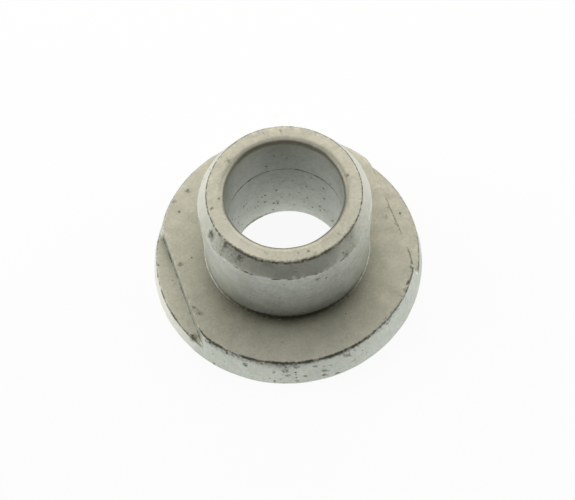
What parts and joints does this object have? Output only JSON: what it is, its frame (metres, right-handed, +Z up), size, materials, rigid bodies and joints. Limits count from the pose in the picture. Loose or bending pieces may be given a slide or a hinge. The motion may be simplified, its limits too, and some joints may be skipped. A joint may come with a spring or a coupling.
{
  "type": "transmission support spacer",
  "caption": "Flanged steel spacer: a plain bored boss with a tapered lead-in end on a drafted round flange with two stepped flats, setting a transmission support at its height on its bolt.",
  "frame": {"origin": "centre of the flange's underside, on the axis of the bore", "axes": "+Z up the bore from the flange to the free end of the boss; X across the two flats of the flange"},
  "size_m": [0.03, 0.03, 0.0154],
  "materials": {
    "zinc_steel": "matte grey zinc-like plating over a forged and machined surface, lightly soiled"
  },
  "bodies": {
    "root": {"spacer": "zinc_steel"}
  },
  "joints": []
}
